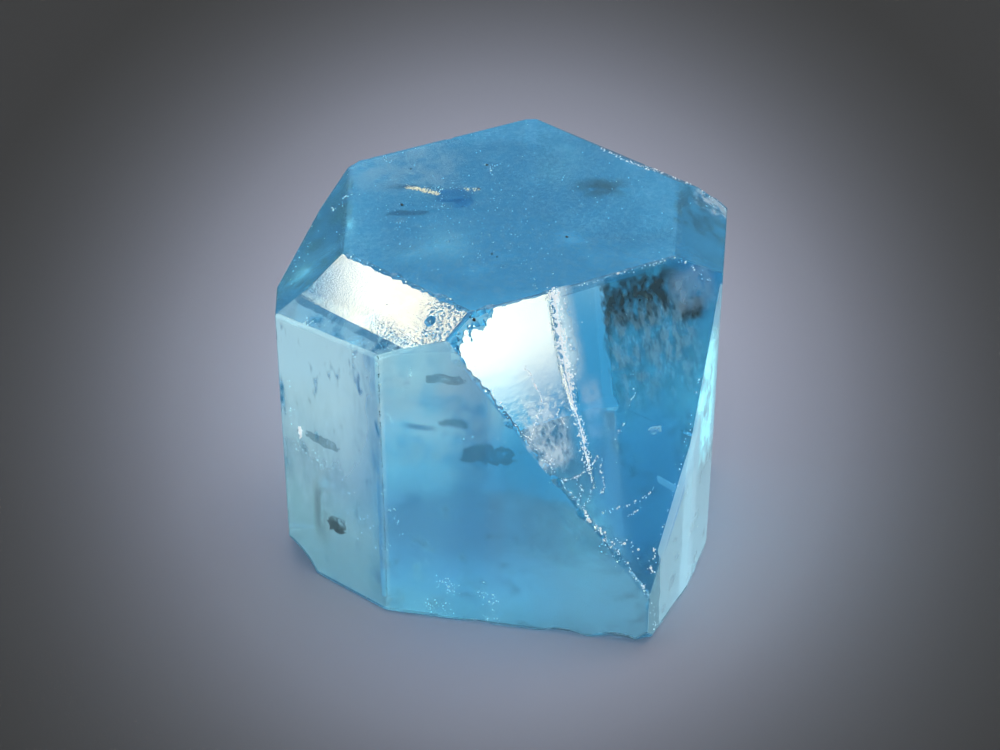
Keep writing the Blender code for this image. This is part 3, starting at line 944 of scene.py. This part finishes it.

# %% [markdown]
# The upright edge between the two front faces is worn flat and shows as a thin dark line. The worn flat of
# the solid is smooth there, so a narrow row of slate grey grains darkens it.

# %% dark edge line
DARK_EDGE_LINE = [(378, 356), (381, 440), (387, 596)]
crush("dark_edge_line", strewn(DARK_EDGE_LINE, 300, 0.03, 0.06, 0.8, chance), slate, 41)

# %% [markdown]
# ## Healed cracks and stains
#
# Milky films lie under the left and right front faces, with a sheet of painted even blue among them at the
# front. A dark mottled one lies under the upper right of the slanted face, with streaks running down from
# it.
# They are sheets parallel to the faces they lie under. Each is pointed at, and has its depth and its width
# and height in millimetres.

# %% milky films on the left and at the front, and a painted even blue
SHARP, EVEN, SOFT = (0.02, 0.02, 0.02, 0.02), (0.1, 0.1, 0.1, 0.1), (0.3, 0.3, 0.3, 0.3)
film_behind("milk_left_film", at=(328, 440), depth_mm=0.35, size_mm=(17.0, 27.0), bow_mm=0.1,
            material=film_finish("milk_left", (0.75, 0.97, 1.0), cover=0.47, glow=0.38, puffs=700.0,
                                 holes=(0.22, 0.42), edges=(0.02, 0.40, 0.75, 0.02), stretch=0.4))
film_behind("milk_low_film", at=(335, 530), depth_mm=0.35, size_mm=(15.0, 13.0),
            material=film_finish("milk_low", (0.66, 1.0, 0.97), cover=0.215, glow=0.28, puffs=300.0,
                                 holes=(0.12, 0.45), edges=(0.02, 0.3, 0.02, 0.5)))
film_behind("milk_front_film", at=(450, 414), depth_mm=0.35, size_mm=(12.0, 15.0),
            material=film_finish("milk_front", (0.85, 0.95, 0.92), cover=0.20, glow=0.25, puffs=260.0,
                                 holes=(0.30, 0.58), edges=(0.02, 0.5, 0.5, 0.02)))
film_behind("milk_high_film", at=(430, 385), depth_mm=0.35, size_mm=(10.0, 9.0), bow_mm=0.1,
            material=film_finish("milk_high", (0.55, 0.94, 1.0), cover=0.26, glow=0.40, puffs=500.0,
                                 holes=(0.20, 0.45), edges=(0.02, 0.7, 0.6, 0.02)))
film_behind("milk_foot_film", at=(480, 583), depth_mm=0.4, size_mm=(18.0, 10.0), bow_mm=0.1,
            material=film_finish("milk_foot", (0.20, 0.72, 0.95), cover=0.20, glow=0.5, puffs=300.0,
                                 holes=(0.15, 0.50), edges=(0.02, 0.4, 0.15, 0.7)))
# This glowing mid-blue sheet is painted light: it lays one even blue over the light and shade seen through
# the front face.
film_behind("front_even_blue_film", at=(480, 528), depth_mm=0.45, size_mm=(19.0, 20.0), bow_mm=0.1,
            material=film_finish("front_even_blue", (0.13, 0.43, 0.68), cover=0.44, glow=0.38, puffs=420.0,
                                 holes=(0.12, 0.50), edges=(0.02, 0.5, 0.3, 0.5)))
film_behind("milk_foot_right_film", at=(575, 600), depth_mm=0.4, size_mm=(20.0, 12.0),
            material=film_finish("milk_foot_right", (0.26, 0.74, 1.0), cover=0.15, glow=0.5, puffs=300.0,
                                 holes=(0.20, 0.50), edges=(0.5, 0.3, 0.5, 0.3)))

# %% milky films on the right and the top
milk_right = film_finish("milk_right", (0.66, 0.92, 1.0), cover=0.33, glow=0.38, puffs=260.0,
                         holes=(0.15, 0.45), edges=SHARP)
film_behind("milk_right_film", at=(700, 470), depth_mm=0.5, size_mm=(18.0, 32.0), bow_mm=0.05,
            material=milk_right)
film_behind("milk_right_low_film", at=(680, 530), depth_mm=0.5, size_mm=(8.0, 32.0), bow_mm=0.05,
            material=milk_right)
film_behind("milk_top_film", at=(500, 200), depth_mm=0.5, size_mm=(40.0, 36.0),
            material=film_finish("milk_top", (0.60, 0.84, 0.93), cover=0.06, glow=0.15, puffs=2400.0,
                                 holes=(0.44, 0.62), edges=EVEN))
film_behind("milk_corner_film", at=(398, 165), depth_mm=0.3, size_mm=(13.0, 13.0),
            material=film_finish("milk_corner", (0.62, 0.74, 0.72), cover=0.10, glow=0.3, puffs=600.0,
                                 holes=(0.25, 0.60), edges=SOFT))

# %% band under the left dome and its painted shade, painted light beside the crack and on the right, veils and blue patches
film_behind("milk_band_film", at=(330, 332), depth_mm=0.35, size_mm=(18.0, 5.0), bow_mm=0.1,
            material=film_finish("milk_band", (0.60, 0.92, 1.0), cover=0.22, glow=0.3, puffs=600.0,
                                 holes=(0.30, 0.60), edges=EVEN))
# This dark blue line just under the small dome face's lower edge is painted shade.
film_behind("band_painted_shade_film", at=(335, 317), depth_mm=0.35, size_mm=(13.0, 1.0), bow_mm=0.05,
            material=film_finish("band_painted_shade", (0.03, 0.26, 0.46), cover=0.42, glow=0.1, puffs=500.0,
                                 holes=(0.15, 0.40), edges=(0.1, 0.1, 0.3, 0.3), crisp=True))
# This pale film right of the crack's lip is a painted reflection: the front card's mirror light fading off
# beside it.
film_behind("lip_painted_reflection_film", at=(572, 336), depth_mm=0.35, size_mm=(2.2, 10.0), bow_mm=0.05,
            material=film_finish("lip_painted_reflection", (0.80, 0.96, 1.0), cover=0.60, glow=0.3, puffs=900.0,
                                 holes=(0.15, 0.50), edges=(0.02, 0.8, 0.4, 0.1)))
# This white film below the slanted face's mirror patch is a painted highlight, where the mirror light trails
# off.
film_behind("shell_painted_highlight_film", at=(547, 430), depth_mm=0.3, size_mm=(5.4, 8.0), bow_mm=0.05,
            material=film_finish("shell_painted_highlight", (0.88, 0.97, 1.0), cover=0.38, glow=0.42, puffs=1100.0,
                                 holes=(0.34, 0.66), edges=SOFT, stretch=0.6))
film_behind("stray_veil_film", at=(594, 408), depth_mm=0.35, size_mm=(2.4, 6.5), bow_mm=0.05,
            material=film_finish("stray_veil", (0.75, 0.90, 1.0), cover=0.22, glow=0.3, puffs=700.0,
                                 holes=(0.36, 0.62), edges=SOFT, stretch=0.4))
film_behind("pale_spot_film", at=(654, 431), depth_mm=0.35, size_mm=(2.0, 1.0), bow_mm=0.05,
            material=film_finish("pale_spot", (0.50, 0.84, 0.95), cover=0.45, glow=0.3, puffs=900.0,
                                 holes=(0.20, 0.50), edges=(0.4, 0.4, 0.4, 0.4), crisp=True))
film_behind("blue_fade_film", at=(592, 437), depth_mm=0.35, size_mm=(4.4, 6.4), bow_mm=0.05,
            material=film_finish("blue_fade", (0.06, 0.42, 0.70), cover=0.32, glow=0.5, puffs=300.0,
                                 holes=(0.15, 0.45), edges=(0.3, 0.3, 0.7, 0.05)))
film_behind("deep_blue_film", at=(640, 480), depth_mm=0.8, size_mm=(11.0, 16.0),
            material=film_finish("deep_blue", (0.06, 0.44, 0.86), cover=0.20, glow=0.4, puffs=260.0,
                                 holes=(0.20, 0.50), edges=(0.3, 0.2, 0.3, 0.3)))
# This glowing cyan streak on the right side face is a painted flash of light.
film_behind("flash_film", at=(708, 400), depth_mm=0.45, size_mm=(6.0, 15.0), bow_mm=0.05,
            material=film_finish("flash", (0.50, 0.96, 1.0), cover=0.62, glow=0.8, puffs=900.0,
                                 holes=(0.34, 0.56), edges=SOFT, stretch=0.5))

# %% dark films
dark_mottle = film_finish("dark_mottle", (0.08, 0.15, 0.165), cover=0.78, glow=0.05, puffs=900.0, holes=(0.34, 0.60),
                    edges=(0.08, 0.35, 0.45, 0.2), stretch=0.6)
film_behind("dark_mottle_film", at=(648, 298), depth_mm=0.5, size_mm=(9.0, 5.4), material=dark_mottle)
film_behind("dark_mottle_patch_film", at=(694, 310), depth_mm=0.4, size_mm=(2.8, 2.6), material=dark_mottle)
film_behind("haze_film", at=(692, 288), depth_mm=0.3, size_mm=(5.5, 4.4),
            material=film_finish("haze", (0.34, 0.54, 0.70), cover=0.42, glow=0.2, puffs=700.0,
                                 holes=(0.25, 0.60), edges=SOFT))
film_behind("streak_film", at=(656, 352), depth_mm=0.6, size_mm=(9.5, 11.0),
            material=film_finish("streaks", (0.06, 0.20, 0.24), cover=0.26, glow=0.05, puffs=1500.0,
                                 holes=(0.40, 0.62), edges=(0.1, 0.2, 0.6, 0.2), stretch=0.15))
film_behind("pale_streak_film", at=(660, 350), depth_mm=0.35, size_mm=(9.5, 10.0),
            material=film_finish("pale_streaks", (0.40, 0.66, 0.78), cover=0.30, glow=0.2, puffs=1500.0,
                                 holes=(0.42, 0.64), edges=(0.1, 0.2, 0.6, 0.2), stretch=0.25))
film_behind("shade_right_film", at=(704, 212), depth_mm=0.3, size_mm=(9.0, 9.0),
            material=film_finish("shade_side", (0.08, 0.18, 0.20), cover=0.27, glow=0.05, puffs=900.0,
                                 holes=(0.40, 0.60), edges=(0.1, 0.1, 0.15, 0.1), stretch=0.4))
film_behind("pale_side_film", at=(714, 203), depth_mm=0.3, size_mm=(5.0, 5.0),
            material=film_finish("pale_side", (0.62, 0.74, 0.82), cover=0.50, glow=0.3, puffs=900.0,
                                 holes=(0.36, 0.60), edges=SOFT, stretch=0.6))
film_behind("shade_left_film", at=(312, 245), depth_mm=0.4, size_mm=(16.0, 20.0),
            material=film_finish("shade_green", (0.09, 0.30, 0.28), cover=0.20, glow=0.05, puffs=520.0,
                                 holes=(0.40, 0.62), edges=EVEN))
film_behind("shade_top_film", at=(530, 215), depth_mm=0.8, size_mm=(32.0, 34.0),
            material=film_finish("shade_top", (0.02, 0.22, 0.43), cover=0.27, glow=0.26, puffs=120.0,
                                 holes=(0.28, 0.56), edges=(0.3, 0.15, 0.15, 0.15)))

# %% [markdown]
# The last films are small: short grey bars and a blue line under the front faces, a dark oval and a brown
# stain low on the left, and round the straw streak under the top two dark lines, a blue lens and a smudge.

# %% small films
ROUND = (0.45, 0.45, 0.45, 0.45)
BAR_DEPTH = 0.27
bar = film_finish("grey_bar", (0.10, 0.29, 0.38), cover=0.25, glow=0.05, puffs=700.0, holes=(0.20, 0.50),
                  edges=ROUND, crisp=True)
# Each bar is pointed at, and has its width and height in millimetres.
BARS = [("bar_high", (444, 380), (4.2, 1.4)), ("bar_middle", (457, 424), (3.4, 1.3)),
        ("bar_low", (492, 455), (6.0, 2.8)), ("bar_left", (324, 442), (7.5, 1.3))]
for name, at, size_mm in BARS:
    film_behind(name, at=at, depth_mm=BAR_DEPTH, size_mm=size_mm, bow_mm=0.02, material=bar)
film_behind("dark_oval", at=(337, 525), depth_mm=0.27, size_mm=(3.0, 2.2), bow_mm=0.02,
            material=film_finish("brown_stain", (0.09, 0.16, 0.16), cover=0.58, glow=0.03, puffs=900.0,
                                 holes=(0.30, 0.55), edges=ROUND, crisp=True))
film_behind("tan_streak", at=(322, 508), depth_mm=0.27, size_mm=(2.4, 9.5), bow_mm=0.02,
            material=film_finish("tan_stain", (0.26, 0.33, 0.30), cover=0.30, glow=0.05, puffs=500.0,
                                 holes=(0.35, 0.6), edges=ROUND, stretch=0.3))
lens = film_finish("blue_lens", (0.02, 0.29, 0.62), cover=0.46, glow=0.12, puffs=900.0, holes=(0.25, 0.5),
                   edges=ROUND, crisp=True)
film_behind("blue_lens_film", at=(452, 196), depth_mm=0.3, size_mm=(4.2, 3.6), bow_mm=0.05, material=lens)
film_behind("blue_lens_film_2", at=(461, 202), depth_mm=0.3, size_mm=(3.0, 2.6), bow_mm=0.05, material=lens)
veil_line = film_finish("veil_line", (0.03, 0.20, 0.38), cover=0.34, glow=0.05, puffs=500.0,
                        holes=(0.25, 0.45), edges=ROUND, crisp=True)
film_behind("blue_line_film", at=(419, 427), depth_mm=0.27, size_mm=(3.4, 0.8), bow_mm=0.02,
            material=film_finish("blue_line", (0.03, 0.33, 0.66), cover=0.40, glow=0.1, puffs=500.0,
                                 holes=(0.25, 0.45), edges=ROUND))
film_behind("veil_line_high", at=(417, 186), depth_mm=0.3, size_mm=(6.0, 1.3), bow_mm=0.05,
            material=veil_line)
film_behind("veil_line_low", at=(407, 213), depth_mm=0.3, size_mm=(5.5, 1.2), bow_mm=0.05,
            material=veil_line)
film_behind("smudge_film", at=(600, 188), depth_mm=0.4, size_mm=(6.5, 4.6), bow_mm=0.05,
            material=film_finish("grey_smudge", (0.07, 0.19, 0.24), cover=0.45, glow=0.05, puffs=600.0,
                                 holes=(0.34, 0.56), edges=ROUND))

# %% clearing up
for helper in (*moulds, stone_core):
    bpy.data.objects.remove(helper)
print(len(missed), "grains fell beside the stone or under its foot and were left out")

# %% [markdown]
# ## Finish
#
# The picture is shown without a film curve. The stone needs many bounces, because light runs round inside
# it.

# %% finish
scene.view_settings.view_transform = "Standard"
scene.cycles.max_bounces = 8
scene.cycles.transmission_bounces = 8
scene.cycles.glossy_bounces = 8
scene.cycles.diffuse_bounces = 3
scene.cycles.transparent_max_bounces = 16
